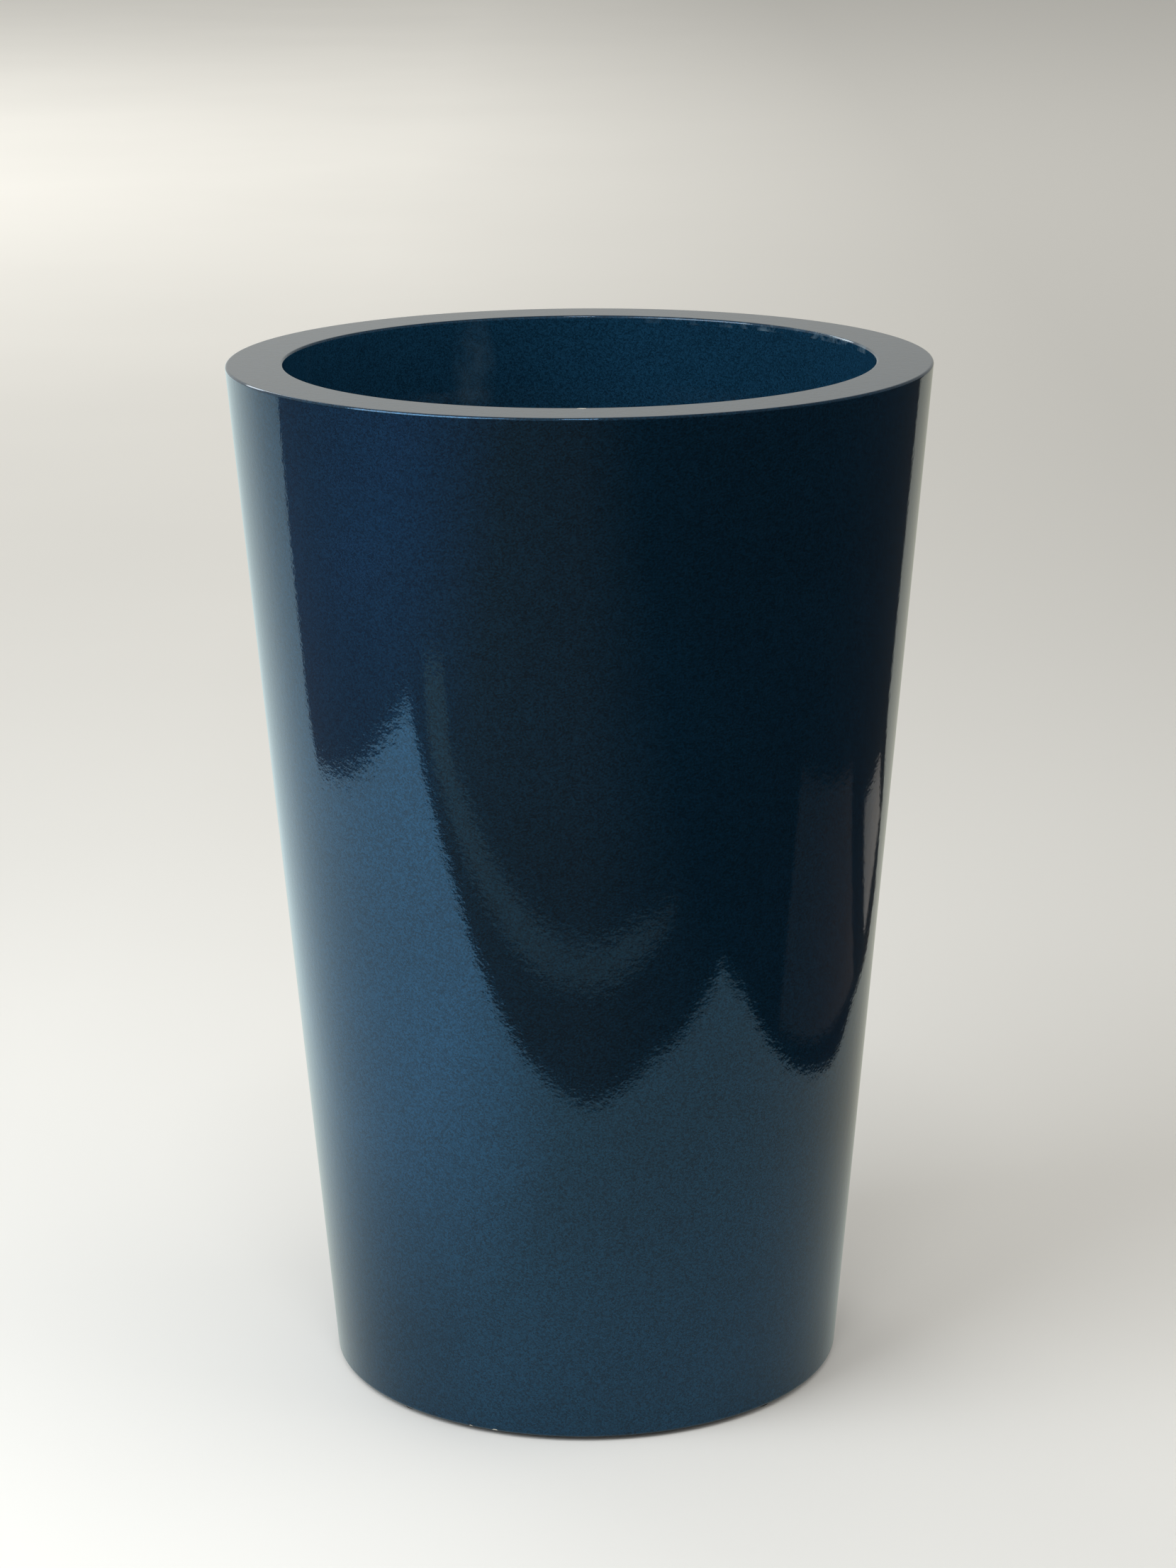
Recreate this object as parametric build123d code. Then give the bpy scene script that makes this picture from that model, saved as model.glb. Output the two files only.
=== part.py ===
"""Tall round tapered planter, with a lift-out planting liner hung inside its rim.

The frame is +Z up, in millimetres. The origin is on the floor, at the centre of the base.
Every round piece is turned about the upright axis from one outline of (radius, height, rounding).
"""

from build123d import *

import math
import os

# Overall form of the shell
height = 522.0
top_diameter = 350.0
base_diameter = 262.0
rim_width = 28.5
skin_thickness = 4.0
rim_edge_rounding = 2.5
inside_rounding = 1.0

# Collar that turns down inside the rim and ends in the ledge that carries the liner
collar_depth = 70.0
collar_draft = 2.5
ledge_width = 12.0
ledge_rounding = 1.5

# Foot ring and recessed underside of the shell
foot_ring_width = 16.0
foot_edge_rounding = 1.8
base_recess = 12.0
base_flange_width = 22.0

# Rubber foot pads, set in pockets under the foot ring
pad_count = 4
pad_diameter = 11.0
pad_thickness = 4.0
pad_stand_off = 2.0
pad_fit = 0.15
pad_rounding = 0.8

# Water tray that closes the bottom of the shell
tray_thickness = 3.0
tray_lip_height = 30.0
tray_fit = 0.6
tray_fall = 4.0
tray_corner = 2.5
tray_rib_count = 12
tray_rib_thickness = 2.2
tray_rib_ground_gap = 5.0
tray_flange_gap = 3.0

# Screws that hold the tray down on the shell's inner flange
screw_count = 6
screw_diameter = 4.0
screw_length = 11.0
screw_head_diameter = 8.0
screw_head_height = 2.6
screw_hole_fit = 0.3
screw_thread_fit = 0.05
screw_boss_wall = 2.6
screw_end_gap = 1.0

# Drain outlet in the middle of the tray, and its plug
drain_bore = 24.0
drain_wall = 6.0
drain_length = 13.0
plug_fit = 0.08
plug_reach = 11.0
plug_lead_in = 1.5
plug_head_diameter = 32.0
plug_head_thickness = 3.0
plug_head_rounding = 1.0
plug_grip_length = 25.0
plug_grip_thickness = 5.0
plug_grip_height = 14.0
plug_grip_rounding = 2.0
washer_thickness = 2.0
washer_fit = 0.2

# Planting liner that hangs from the ledge
liner_thickness = 2.5
liner_depth = 300.0
liner_ledge_fit = 1.2
liner_collar_fit = 0.8
liner_flange_thickness = 3.0
liner_lip_height = 7.0
liner_floor_thickness = 3.0
liner_floor_rounding = 8.0
liner_edge_rounding = 0.8
liner_foot_count = 4
liner_foot_diameter = 16.0
liner_foot_height = 8.0
liner_drain_diameter = 9.0
liner_drain_rings = 3
liner_drain_pitch = 28.0
liner_rest_count = 6
liner_rest_height = 25.0
liner_rest_width = 9.0
liner_rest_thickness = 4.0

# Perforated soil grid that stands on the liner's rests
grid_thickness = 3.0
grid_fit = 1.0
grid_rim_height = 9.0
grid_rim_width = 3.0
grid_hole_diameter = 8.0
grid_hole_pitch = 21.0
grid_hole_rings = 4
grid_rib_height = 6.0
grid_rib_thickness = 2.0
grid_finger_hole = 24.0
grid_finger_spread = 105.0

# Folding handles, pinned in ears on the liner's flange
handle_width = 6.0
handle_thickness = 5.0
handle_rounding = 2.0
handle_half_angle = 34.0
handle_hub_length = 7.0
handle_pin_diameter = 4.0
handle_pin_fit = 0.06
handle_pin_show = 0.6
handle_end_gap = 0.4
handle_turning_gap = 0.3
ear_thickness = 3.5
ear_diameter = 10.0

# Gap left under a piece that lifts off its seat
seat_gap = 0.3


# Sizes worked out from the ones above
top_radius = top_diameter / 2
base_radius = base_diameter / 2
wall_slope = (top_radius - base_radius) / height
wall_across = skin_thickness * math.sqrt(1 + wall_slope**2)
opening_radius = top_radius - rim_width
collar_slope = math.tan(math.radians(collar_draft))
collar_across = skin_thickness / math.cos(math.radians(collar_draft))
ledge_level = height - collar_depth
ledge_radius = opening_radius - collar_depth * collar_slope - ledge_width
foot_level = pad_stand_off
recess_level = foot_level + base_recess
flange_level = recess_level + skin_thickness
riser_radius = base_radius - foot_ring_width
base_opening_radius = riser_radius - base_flange_width


def outside_radius(level):
    """Radius of the shell's outer face at a height above the floor."""
    return base_radius + wall_slope * level


def inside_radius(level):
    """Radius of the inner face of the shell's outer wall."""
    return outside_radius(level) - wall_across


def collar_radius(level):
    """Radius of the visible face of the collar inside the rim."""
    return opening_radius - (height - level) * collar_slope


def turned(corners):
    """Solid turned about the upright axis from (radius, height, rounding) corners."""
    points = [(radius, level) for radius, level, rounding in corners]
    roundings = [rounding for radius, level, rounding in corners]
    outline = make_face(FilletPolyline(*points, radius=roundings, close=True))
    return revolve(Plane.XZ * outline, Axis.Z)


def upright(radius, length, bottom):
    """Upright cylinder on the axis, from its bottom face."""
    return Pos(0, 0, bottom + length / 2) * Cylinder(radius, length)


def turns(count):
    """Even turns about the upright axis, starting half a step round."""
    return [Rot(0, 0, 360 / count * (step + 0.5)) for step in range(count)]


# Shell: one skin of even thickness, from the tray flange round the foot and up to the ledge

pad_circle = base_radius - foot_ring_width / 2
screw_circle = riser_radius - base_flange_width / 2


def shell_skin():
    """Wall, flat rim, collar with ledge, foot ring and tray flange as one turned skin."""
    under_rim = height - skin_thickness
    under_ledge = ledge_level - skin_thickness
    above_foot = foot_level + skin_thickness
    return turned(
        [
            (base_opening_radius, recess_level, 0),
            (riser_radius, recess_level, inside_rounding),
            (riser_radius, foot_level, foot_edge_rounding),
            (outside_radius(foot_level), foot_level, foot_edge_rounding),
            (top_radius, height, rim_edge_rounding),
            (opening_radius, height, rim_edge_rounding),
            (collar_radius(ledge_level), ledge_level, inside_rounding),
            (ledge_radius, ledge_level, ledge_rounding),
            (ledge_radius, under_ledge, 0),
            (
                collar_radius(under_ledge) + collar_across,
                under_ledge,
                inside_rounding + skin_thickness,
            ),
            (collar_radius(under_rim) + collar_across, under_rim, inside_rounding),
            (inside_radius(under_rim), under_rim, inside_rounding),
            (inside_radius(above_foot), above_foot, inside_rounding),
            (riser_radius + skin_thickness, above_foot, inside_rounding),
            (riser_radius + skin_thickness, flange_level, inside_rounding),
            (base_opening_radius, flange_level, 0),
        ]
    )


def shell():
    """Shell with pockets for the pads and clearance holes for the tray screws."""
    pocket_radius = pad_diameter / 2 + pad_fit
    pocket = upright(pocket_radius, pad_thickness, 0)
    hole_radius = screw_diameter / 2 + screw_hole_fit
    hole = upright(hole_radius, skin_thickness * 3, recess_level - skin_thickness)
    pockets = [place * pocket for place in PolarLocations(pad_circle, pad_count, 45)]
    holes = [place * hole for place in PolarLocations(screw_circle, screw_count)]
    return shell_skin() - pockets - holes


def foot_pad(place):
    """Rubber disc with a rounded lower edge, standing proud of the foot ring."""
    disc = upright(pad_diameter / 2, pad_thickness, 0)
    lower_edge = disc.edges().group_by(Axis.Z)[0]
    return place * fillet(lower_edge, pad_rounding)


# Water tray, screwed down on the shell's flange

tray_seat_radius = base_opening_radius - tray_flange_gap
tray_top = flange_level + tray_thickness
drain_radius = drain_bore / 2
drain_top = tray_top - tray_fall
drain_bottom = drain_top - drain_length
drain_outer_radius = drain_radius + drain_wall
screw_seat_top = recess_level + screw_length
screw_boss_top = screw_seat_top + screw_end_gap + tray_thickness
screw_hole_radius = screw_diameter / 2 + screw_thread_fit


def tray_outer_radius(level):
    """Outside of the tray, a set fit away from the shell's inner face."""
    return inside_radius(level) - tray_fit


def tray_rib():
    """One rib under the tray floor, from the drain outlet to the edge of the recess."""
    level = foot_level + tray_rib_ground_gap
    depth_at_seat = flange_level + tray_thickness / 2 - level
    depth_at_drain = depth_at_seat - tray_fall
    start = drain_radius + drain_wall / 2
    outline = Polyline(
        (start, level),
        (tray_seat_radius, level),
        (tray_seat_radius, level + depth_at_seat),
        (start, level + depth_at_drain),
        close=True,
    )
    return extrude(Plane.XZ * make_face(outline), tray_rib_thickness / 2, both=True)


def base_tray():
    """Dished tray that falls to the drain, with ribs and blind screw bosses."""
    lip_top = flange_level + tray_lip_height
    tray = turned(
        [
            (drain_radius, drain_bottom, 0),
            (drain_outer_radius, drain_bottom, inside_rounding),
            (drain_outer_radius, drain_top - tray_thickness, inside_rounding),
            (tray_seat_radius, flange_level, 0),
            (tray_outer_radius(flange_level), flange_level, tray_corner),
            (tray_outer_radius(lip_top), lip_top, inside_rounding),
            (tray_outer_radius(lip_top) - tray_thickness, lip_top, inside_rounding),
            (tray_outer_radius(tray_top) - tray_thickness, tray_top, inside_rounding),
            (tray_seat_radius, tray_top, 0),
            (drain_outer_radius, drain_top, 0),
            (drain_radius, drain_top, 0),
        ]
    )
    rib = tray_rib()
    ribs = [place * rib for place in turns(tray_rib_count)]
    boss_radius = screw_hole_radius + screw_boss_wall
    boss = upright(boss_radius, screw_boss_top - flange_level, flange_level)
    hole = upright(screw_hole_radius, screw_seat_top + screw_end_gap - flange_level, flange_level)
    bosses = [place * boss for place in PolarLocations(screw_circle, screw_count)]
    holes = [place * hole for place in PolarLocations(screw_circle, screw_count)]
    return tray + ribs + bosses - holes


def tray_screw():
    """Pan-head screw, driven up from under the shell."""
    head_top = recess_level
    head = upright(screw_head_diameter / 2, screw_head_height, head_top - screw_head_height)
    head = fillet(head.edges().group_by(Axis.Z)[0], screw_head_height / 2)
    return head + upright(screw_diameter / 2, screw_length, head_top)


def tray_screws():
    """All the tray screws, as one group of separate solids."""
    screw = tray_screw()
    return Compound([place * screw for place in PolarLocations(screw_circle, screw_count)])


# Drain plug, pushed down into the outlet over its sealing washer

washer_level = drain_top + seat_gap
plug_head_level = washer_level + washer_thickness
plug_radius = drain_radius - plug_fit


def plug_washer():
    """Flat sealing washer under the head of the plug."""
    washer = upright(plug_head_diameter / 2, washer_thickness, washer_level)
    return washer - upright(plug_radius + washer_fit, washer_thickness, washer_level)


def drain_plug():
    """Plug with a chamfered nose, a flat head and a raised grip to pull it by."""
    nose_level = drain_top - plug_reach
    plug = turned(
        [
            (0, nose_level, 0),
            (plug_radius - plug_lead_in, nose_level, 0),
            (plug_radius, nose_level + plug_lead_in, 0),
            (plug_radius, plug_head_level, 0),
            (plug_head_diameter / 2, plug_head_level, 0),
            (
                plug_head_diameter / 2,
                plug_head_level + plug_head_thickness,
                plug_head_rounding,
            ),
            (0, plug_head_level + plug_head_thickness, 0),
        ]
    )
    grip_face = Pos(0, plug_head_level + plug_grip_height / 2) * RectangleRounded(
        plug_grip_length, plug_grip_height, plug_grip_rounding
    )
    grip = extrude(Plane.XZ * grip_face, plug_grip_thickness / 2, both=True)
    return plug + grip


# Planting liner, hung by its flange on the ledge

liner_seat = ledge_level + seat_gap
liner_flange_top = liner_seat + liner_flange_thickness
liner_lip_top = liner_flange_top + liner_lip_height
liner_top_radius = ledge_radius - liner_ledge_fit
liner_flange_radius = collar_radius(liner_seat) - liner_collar_fit
liner_lip_radius = liner_flange_radius - liner_thickness
liner_floor_level = liner_flange_top - liner_depth
liner_floor_top = liner_floor_level + liner_floor_thickness
liner_across = liner_thickness * math.sqrt(1 + wall_slope**2)
grid_rest_level = liner_floor_top + liner_rest_height


def liner_outside(level):
    """Outer radius of the liner's wall, which runs parallel to the shell's wall."""
    return liner_top_radius - (liner_seat - level) * wall_slope


def liner_inside(level):
    """Inner radius of the liner's wall."""
    return liner_outside(level) - liner_across


def liner_pot():
    """Tapered pot with a flat flange and an upright lip round the flange."""
    return turned(
        [
            (0, liner_floor_level, 0),
            (liner_outside(liner_floor_level), liner_floor_level, liner_floor_rounding),
            (liner_top_radius, liner_seat, inside_rounding),
            (liner_flange_radius, liner_seat, liner_edge_rounding),
            (liner_flange_radius, liner_lip_top, liner_edge_rounding),
            (liner_lip_radius, liner_lip_top, liner_edge_rounding),
            (liner_lip_radius, liner_flange_top, liner_edge_rounding),
            (liner_inside(liner_flange_top), liner_flange_top, liner_edge_rounding),
            (liner_inside(liner_floor_top), liner_floor_top, liner_floor_rounding - liner_thickness),
            (0, liner_floor_top, 0),
        ]
    )


def liner_rest():
    """One rib inside the liner's wall, whose top carries the soil grid."""
    bottom = liner_floor_top - liner_floor_thickness / 2
    embed = liner_across / 2
    outline = Polyline(
        (liner_inside(bottom) - liner_rest_width, bottom),
        (liner_inside(bottom) - embed, bottom),
        (liner_inside(grid_rest_level) + embed, grid_rest_level),
        (liner_inside(grid_rest_level) - liner_rest_width, grid_rest_level),
        close=True,
    )
    return extrude(Plane.XZ * make_face(outline), liner_rest_thickness / 2, both=True)


def liner_drain_holes():
    """Drain holes in rings round the middle of the liner's floor."""
    hole_bottom = liner_floor_level - liner_floor_thickness
    hole = upright(liner_drain_diameter / 2, liner_floor_thickness * 3, hole_bottom)
    holes = [hole]
    for ring in range(1, liner_drain_rings + 1):
        holes += [place * hole for place in PolarLocations(liner_drain_pitch * ring, 6 * ring)]
    return holes


# Ears and handles: two bails that fold flat on the flange, between its lip and the opening

handle_radius = (liner_inside(liner_flange_top) + liner_lip_radius) / 2
handle_level = liner_flange_top + handle_turning_gap
pivot_level = handle_level + handle_thickness / 2
pivot_x = handle_radius * math.cos(math.radians(handle_half_angle))
pivot_y = handle_radius * math.sin(math.radians(handle_half_angle))
hub_end = pivot_y + handle_hub_length / 2
ear_start = hub_end + handle_end_gap
ear_end = ear_start + ear_thickness
pin_radius = handle_pin_diameter / 2


def along_y(radius, start, end):
    """Cylinder along Y at the right handle's pivot, between two distances from the middle."""
    middle = Pos(pivot_x, (start + end) / 2, pivot_level)
    return middle * Rot(90, 0, 0) * Cylinder(radius, end - start)


def handle_ear():
    """Ear on the flange with a round top and the hole for one handle pin."""
    foot_level_in_flange = liner_seat + liner_flange_thickness / 2
    foot_height = pivot_level - foot_level_in_flange
    foot = Pos(pivot_x, (ear_start + ear_end) / 2, foot_level_in_flange + foot_height / 2)
    post = foot * Box(ear_diameter, ear_thickness, foot_height)
    return post + along_y(ear_diameter / 2, ear_start, ear_end)


def on_four_corners(piece):
    """The same piece at both ends of both handles."""
    right = [piece, mirror(piece, Plane.XZ)]
    return right + [mirror(item, Plane.YZ) for item in right]


def liner():
    """Liner with its drain holes, feet, grid rests and handle ears."""
    rest = liner_rest()
    rests = [place * rest for place in turns(liner_rest_count)]
    foot_height = liner_foot_height + liner_floor_thickness / 2
    foot = upright(liner_foot_diameter / 2, foot_height, liner_floor_level - liner_foot_height)
    foot_circle = (liner_drain_rings - 0.5) * liner_drain_pitch
    feet = [place * foot for place in PolarLocations(foot_circle, liner_foot_count, 45)]
    pin_hole = along_y(pin_radius + handle_pin_fit, ear_start - 1, ear_end + 1)
    pot = liner_pot() + rests + feet + on_four_corners(handle_ear())
    return pot - liner_drain_holes() - on_four_corners(pin_hole)


def handle():
    """Right-hand bail: a flat bar bent to the flange, with a hub and a pin at each end."""
    section = RectangleRounded(handle_width, handle_thickness, handle_rounding)
    section = Plane.XZ * Pos(handle_radius, pivot_level) * section
    bar = revolve(section, Axis.Z, 2 * handle_half_angle)
    bar = Rot(0, 0, -handle_half_angle) * bar
    hub = along_y(handle_thickness / 2, hub_end - handle_hub_length, hub_end)
    pin = along_y(pin_radius, hub_end - handle_hub_length / 2, ear_end + handle_pin_show)
    return bar + [hub, mirror(hub, Plane.XZ), pin, mirror(pin, Plane.XZ)]


# Soil grid, resting inside the liner

grid_level = grid_rest_level + seat_gap
grid_radius = liner_inside(grid_level) - grid_fit


def grid_disc():
    """Disc with an upright rim and round ribs under it, between the rings of holes."""
    rim_top = grid_level + grid_rim_height
    disc_top = grid_level + grid_thickness
    disc = turned(
        [
            (0, grid_level, 0),
            (grid_radius, grid_level, inside_rounding),
            (grid_radius, rim_top, inside_rounding),
            (grid_radius - grid_rim_width, rim_top, inside_rounding),
            (grid_radius - grid_rim_width, disc_top, inside_rounding),
            (0, disc_top, 0),
        ]
    )
    for ring in range(1, grid_hole_rings):
        rib_radius = (ring + 0.5) * grid_hole_pitch
        rib_bottom = grid_level - grid_rib_height
        outer = upright(rib_radius + grid_rib_thickness / 2, grid_rib_height, rib_bottom)
        disc += outer - upright(rib_radius - grid_rib_thickness / 2, grid_rib_height, rib_bottom)
    return disc


def grid_holes():
    """Drain holes in rings, leaving a margin round the two finger holes."""
    cut_height = 2 * (grid_thickness + grid_rib_height)
    hole = upright(grid_hole_diameter / 2, cut_height, grid_level - cut_height / 2)
    finger = upright(grid_finger_hole / 2, cut_height, grid_level - cut_height / 2)
    fingers = [Location((side * grid_finger_spread / 2, 0, 0)) for side in (-1, 1)]
    margin = (grid_finger_hole + grid_hole_diameter) / 2 + grid_thickness
    places = [Location((0, 0, 0))]
    for ring in range(1, grid_hole_rings + 1):
        places += list(PolarLocations(grid_hole_pitch * ring, 6 * ring))
    holes = []
    for place in places:
        if all((place.position - spot.position).length > margin for spot in fingers):
            holes.append(place * hole)
    return holes + [spot * finger for spot in fingers]


def soil_grid():
    """Perforated grid with two finger holes to lift it by."""
    return grid_disc() - grid_holes()


def pieces():
    """Every separate piece of the planter by name."""
    right_handle = handle()
    made = {
        "shell": shell(),
        "base_tray": base_tray(),
        "tray_screws": tray_screws(),
        "drain_plug": drain_plug(),
        "plug_washer": plug_washer(),
        "liner": liner(),
        "soil_grid": soil_grid(),
        "handle_right": right_handle,
        "handle_left": mirror(right_handle, Plane.YZ),
    }
    for number, place in enumerate(PolarLocations(pad_circle, pad_count, 45), start=1):
        made[f"foot_pad_{number}"] = foot_pad(place)
    return made


os.makedirs("parts", exist_ok=True)
for name, piece in pieces().items():
    export_step(piece, f"parts/{name}.step")
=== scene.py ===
"""Tall round gloss planter with its water tray, liner, soil grid and stage."""
import math

import bmesh
import bpy
from bpy.props import (FloatProperty, FloatVectorProperty, IntProperty, PointerProperty)
from mathutils import Matrix, Vector


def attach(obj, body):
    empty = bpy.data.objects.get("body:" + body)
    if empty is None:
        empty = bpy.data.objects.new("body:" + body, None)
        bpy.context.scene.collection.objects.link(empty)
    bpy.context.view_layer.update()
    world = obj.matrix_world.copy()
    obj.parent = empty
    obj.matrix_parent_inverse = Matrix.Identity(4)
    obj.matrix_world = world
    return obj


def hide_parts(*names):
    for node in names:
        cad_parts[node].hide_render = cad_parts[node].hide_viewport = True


bl_info = {
    "name": "Tall Round Planter",
    "version": (1, 0, 0),
    "blender": (4, 5, 0),
    "location": "View3D > Sidebar > Planter",
    "description": "Builds a tall round gloss planter, its inner pieces and the stage",
    "category": "Object",
}

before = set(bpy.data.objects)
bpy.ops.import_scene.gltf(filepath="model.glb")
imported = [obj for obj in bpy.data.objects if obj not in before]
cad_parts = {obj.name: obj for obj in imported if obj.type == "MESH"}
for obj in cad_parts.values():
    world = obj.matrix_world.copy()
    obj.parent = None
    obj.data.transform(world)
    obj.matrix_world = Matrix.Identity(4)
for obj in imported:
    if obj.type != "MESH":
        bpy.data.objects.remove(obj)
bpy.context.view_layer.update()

SHARP_ANGLE = math.radians(35)  # an edge that turns by more than this stays sharp


# Sizes and colours that a user would change


def length(name, description, default):
    return FloatProperty(name=name, description=description, default=default, min=0.0,
                         unit="LENGTH", precision=4)


def colour(name, description, default):
    return FloatVectorProperty(name=name, description=description, default=default, size=3,
                               min=0.0, max=1.0, subtype="COLOR")


class PlanterShellSizes(bpy.types.PropertyGroup):
    height: length("Height", "Height of the rim above the floor", 0.522)
    top_radius: length("Top radius", "Outer radius at the rim", 0.1748)
    base_radius: length("Base radius", "Outer radius at the floor", 0.131)
    rim_width: length("Rim width", "Width of the flat rim", 0.0283)
    rim_edge: length("Rim edge", "Rounding of the rim's two edges", 0.0012)
    skin: length("Skin", "Thickness of the moulded skin", 0.004)
    collar_depth: length("Collar depth", "How far the collar turns down inside", 0.070)
    ledge_width: length("Ledge width", "Width of the ledge that carries the liner", 0.012)
    foot_level: length("Foot level", "Height of the foot ring above the floor", 0.002)
    foot_width: length("Foot width", "Width of the foot ring", 0.016)
    base_recess: length("Base recess", "Depth of the flange above the foot ring", 0.012)
    flange_width: length("Flange width", "Width of the screwed flange", 0.022)
    collar_draft: FloatProperty(name="Collar draft", description="Taper of the collar",
                                default=math.radians(2.5), subtype="ANGLE")
    segments: IntProperty(name="Segments", description="Facets round the shell",
                          default=256, min=48)


class PlanterFixingSizes(bpy.types.PropertyGroup):
    screw_count: IntProperty(name="Screws", description="Screws round the flange",
                             default=6, min=3)
    screw_circle: length("Screw circle", "Radius of the ring of screws", 0.104)
    screw_head_radius: length("Screw head", "Radius of a pan head", 0.004)
    screw_head_height: length("Head height", "Height of a pan head", 0.0026)
    screw_shank_radius: length("Shank", "Radius of the shank", 0.002)
    screw_length: length("Screw length", "Length under the head", 0.011)
    screw_fit: length("Screw fit", "Gap round a shank in its hole", 0.0003)
    cross_radius: length("Cross radius", "Reach of the cross recess in a head", 0.0022)
    cross_width: length("Cross width", "Width of the cross recess", 0.0011)
    cross_depth: length("Cross depth", "Depth of the cross recess", 0.0013)
    pad_circle: length("Pad circle", "Radius of the ring of foot pads", 0.123)
    pad_radius: length("Pad radius", "Radius of a foot pad", 0.0055)
    pad_fit: length("Pad fit", "Gap round a pad in its pocket", 0.00015)
    pad_sunk: length("Pad pocket", "How deep a pad sits in the foot ring", 0.002)


class PlanterColours(bpy.types.PropertyGroup):
    lacquer: colour("Lacquer", "Blue of the gloss shell", (0.0074, 0.042, 0.087))
    lacquer_deep: colour("Deep lacquer", "Darker blue that clouds it", (0.0063, 0.036, 0.074))
    chipped: colour("Chipped edge", "Bare moulding where the edge is chipped", (0.50, 0.48, 0.42))
    # Pale blue of the painted highlight along the opening's inner edge, laid on as a matt film.
    edge_highlight_colour: colour("Dust", "Pale film along the inner edge", (0.29, 0.43, 0.52))
    black_moulding: colour("Black moulding", "Liner and water tray", (0.012, 0.012, 0.013))
    grey_moulding: colour("Grey moulding", "Grid, handles and plug", (0.11, 0.115, 0.12))
    rubber: colour("Rubber", "Foot pads and washer", (0.018, 0.018, 0.018))
    steel: colour("Steel", "Tray screws", (0.55, 0.56, 0.57))
    floor: colour("Floor", "Pale floor sheet", (0.84, 0.835, 0.815))
    # The sheet as the gloss shows it, in two painted tones: lit on the left, shaded in front.
    sheet_lit_in_gloss: colour("Sheet in the gloss, left", "Sheet as the lacquer shows it",
                       (0.76, 0.94, 1.0))
    sheet_shaded_in_gloss: colour("Sheet in the gloss, front", "Sheet as the lacquer shows it",
                        (0.50, 0.51, 0.45))
    # The ground as the gloss shows it: painted light on the left, its own brown in front, painted
    # shade on the right.
    ground_lit_in_gloss: colour("Ground, left", "Ground beyond the sheet", (0.13, 0.16, 0.25))
    ground_front: colour("Ground, front", "Ground beyond the sheet", (0.13, 0.07, 0.04))
    ground_shaded_in_gloss: colour("Ground, right", "Ground beyond the sheet", (0.014, 0.011, 0.010))


class PlanterStageSizes(bpy.types.PropertyGroup):
    camera_distance: length("Camera distance", "How far in front the camera stands", 1.8403)
    camera_height: length("Camera height", "Height of the camera", 0.8085)
    camera_aside: length("Camera aside", "How far to the right it stands", 0.0028)
    camera_pitch: FloatProperty(name="Pitch", description="How far the camera looks down",
                                default=math.radians(15.345), subtype="ANGLE")
    camera_roll: FloatProperty(name="Roll", description="Turn about the line of sight",
                               default=math.radians(-0.4), subtype="ANGLE")
    lens: FloatProperty(name="Lens", description="Focal length for a 24 mm high sensor",
                        default=24.0 * 5276.0 / 2212.0, min=1.0)
    key_power: FloatProperty(name="Key power", description="Soft lamp on the left",
                             default=30.0, subtype="POWER")
    back_power: FloatProperty(name="Back power", description="Wide lamp on the far left",
                              default=180.0, subtype="POWER")
    fill_power: FloatProperty(name="Fill power", description="Wide soft lamp on the right",
                              default=12.0, subtype="POWER")
    top_power: FloatProperty(name="Top power", description="Small lamp above the front",
                             default=6.0, subtype="POWER")


# Meshes


def add_object(name, mesh):
    piece = bpy.data.objects.new(name, mesh)
    bpy.context.scene.collection.objects.link(piece)
    return piece


def drop_object(piece):
    mesh = piece.data
    bpy.data.objects.remove(piece)
    bpy.data.meshes.remove(mesh)


def arc_at_corner(before, corner, after, rounding, steps):
    """Points of the rounding at one corner, with a close point on each side of it."""
    to_before = Vector(before[:2]) - Vector(corner[:2])
    to_after = Vector(after[:2]) - Vector(corner[:2])
    room = min(to_before.length, to_after.length)
    to_before.normalize()
    to_after.normalize()
    place = Vector(corner[:2])
    half = to_before.angle(to_after) / 2
    if rounding <= 0 or half > math.radians(89.5):
        return [place]
    trim = min(rounding / math.tan(half), 0.45 * room)
    rounding = trim * math.tan(half)
    centre = place + (to_before + to_after).normalized() * (rounding / math.sin(half))
    first = place + to_before * trim - centre
    last = place + to_after * trim - centre
    turn = math.atan2(first.x * last.y - first.y * last.x, first.dot(last))
    start = math.atan2(first.y, first.x)
    arc = []
    for step in range(steps + 1):
        angle = start + turn * step / steps
        arc.append(centre + Vector((math.cos(angle), math.sin(angle))) * rounding)
    beside = min(0.3 * trim, 0.1 * room)
    return ([place + to_before * (trim + beside)] + arc + [place + to_after * (trim + beside)])


def rounded_outline(corners, steps):
    """Closed outline through (radius, level, rounding) corners."""
    outline = []
    for number, corner in enumerate(corners):
        before = corners[number - 1]
        after = corners[(number + 1) % len(corners)]
        outline += arc_at_corner(before, corner, after, corner[2], steps)
    return outline + [outline[0]]


def outline_object(name, outline):
    mesh = bpy.data.meshes.new(name)
    places = [(point[0], 0.0, point[1]) for point in outline]
    mesh.from_pydata(places, [(i, i + 1) for i in range(len(places) - 1)], [])
    return add_object(name, mesh)


def finished_mesh(source, name):
    """Plain mesh of an object with its modifiers, closed and facing outwards."""
    graph = bpy.context.evaluated_depsgraph_get()
    mesh = bpy.data.meshes.new_from_object(source.evaluated_get(graph))
    mesh.name = name
    work = bmesh.new()
    work.from_mesh(mesh)
    bmesh.ops.remove_doubles(work, verts=work.verts, dist=1e-6)
    bmesh.ops.dissolve_degenerate(work, edges=work.edges, dist=1e-7)
    bmesh.ops.recalc_face_normals(work, faces=work.faces)
    for face in work.faces:
        face.smooth = True
    work.to_mesh(mesh)
    work.free()
    mesh.set_sharp_from_angle(angle=SHARP_ANGLE)
    return mesh


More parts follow.
